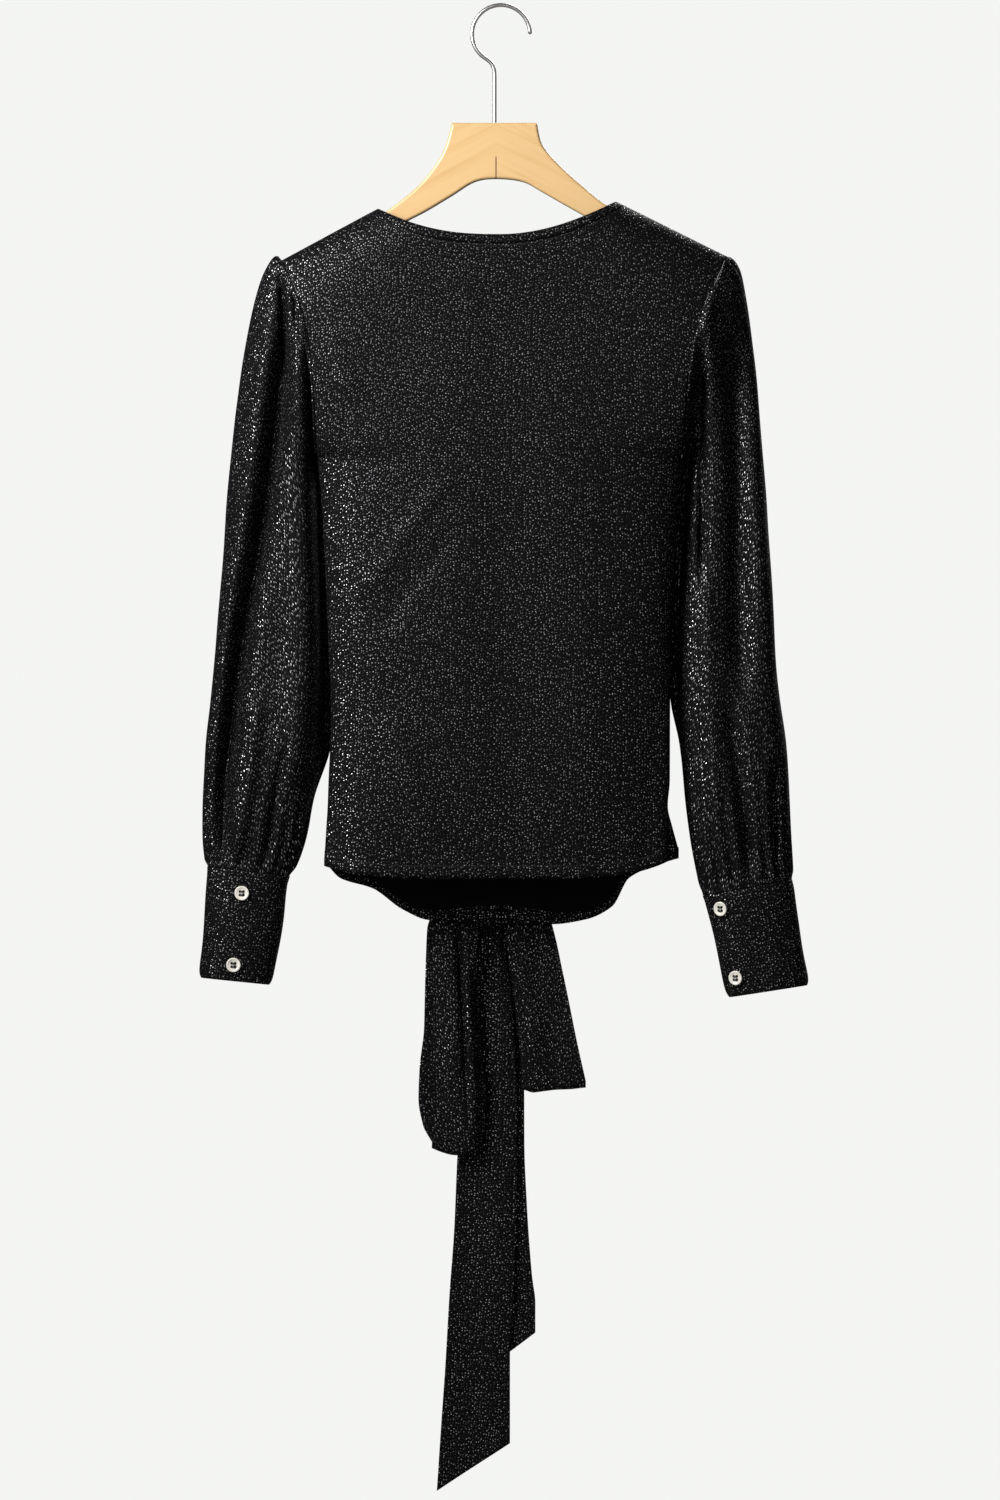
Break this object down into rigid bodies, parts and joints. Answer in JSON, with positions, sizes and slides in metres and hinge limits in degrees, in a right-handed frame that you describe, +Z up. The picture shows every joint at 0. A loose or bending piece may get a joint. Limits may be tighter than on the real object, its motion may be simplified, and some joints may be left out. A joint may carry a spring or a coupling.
{
  "type": "wrap blouse on a clothes hanger",
  "caption": "Long-sleeved wrap blouse of dark glitter knit with a tied bow at the front hem and deep buttoned cuffs, hung on a wooden hanger with a wire hook.",
  "frame": {"origin": "inner top of the hanger's hook, where a rail or peg carries it", "axes": "+Z up, -Y the way the blouse's back faces, +X towards the wearer's right"},
  "size_m": [0.5393, 0.1006, 1.3137],
  "materials": {
    "knit": "soft black jersey with scattered silver glitter dots on its right side",
    "pearl": "polished pearl plastic",
    "wood": "clear satin lacquer",
    "steel": "satin nickel plate"
  },
  "bodies": {
    "root": {"back": "knit", "front_left": "knit", "front_right": "knit", "neckband_back": "knit", "neckband_left": "knit", "neckband_right": "knit", "sleeve_left": "knit", "sleeve_right": "knit", "cuff_left": "knit", "cuff_right": "knit", "sash_left": "knit", "sash_right": "knit", "knot": "knit", "loop_left": "knit", "loop_right": "knit", "tail_long": "knit", "tail_short": "knit", "button_left_upper": "pearl", "button_left_lower": "pearl", "button_right_upper": "pearl", "button_right_lower": "pearl", "hanger_wood": "wood", "hanger_hook": "steel"}
  },
  "joints": []
}
